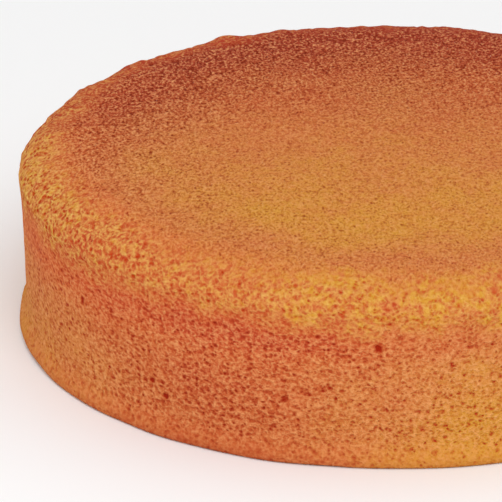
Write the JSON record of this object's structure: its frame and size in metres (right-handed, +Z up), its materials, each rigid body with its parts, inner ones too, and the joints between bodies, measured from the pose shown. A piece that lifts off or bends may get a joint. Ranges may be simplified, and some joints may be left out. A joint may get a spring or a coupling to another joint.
{
  "type": "yellow cake",
  "caption": "Round single-layer yellow cake, uncut and unfrosted, with a low crown, a broad rounded shoulder, a slightly waisted wall and a flat base.",
  "frame": {"origin": "middle of the flat underside, at the centre of the cake's footprint", "axes": "+Z up through the crown along the cake's own axis; -Y faces the side that the picture shows"},
  "size_m": [0.1998, 0.1998, 0.0516],
  "materials": {
    "crust": "matte, finely porous golden-brown cake crust"
  },
  "bodies": {
    "root": {"cake": "crust"}
  },
  "joints": []
}
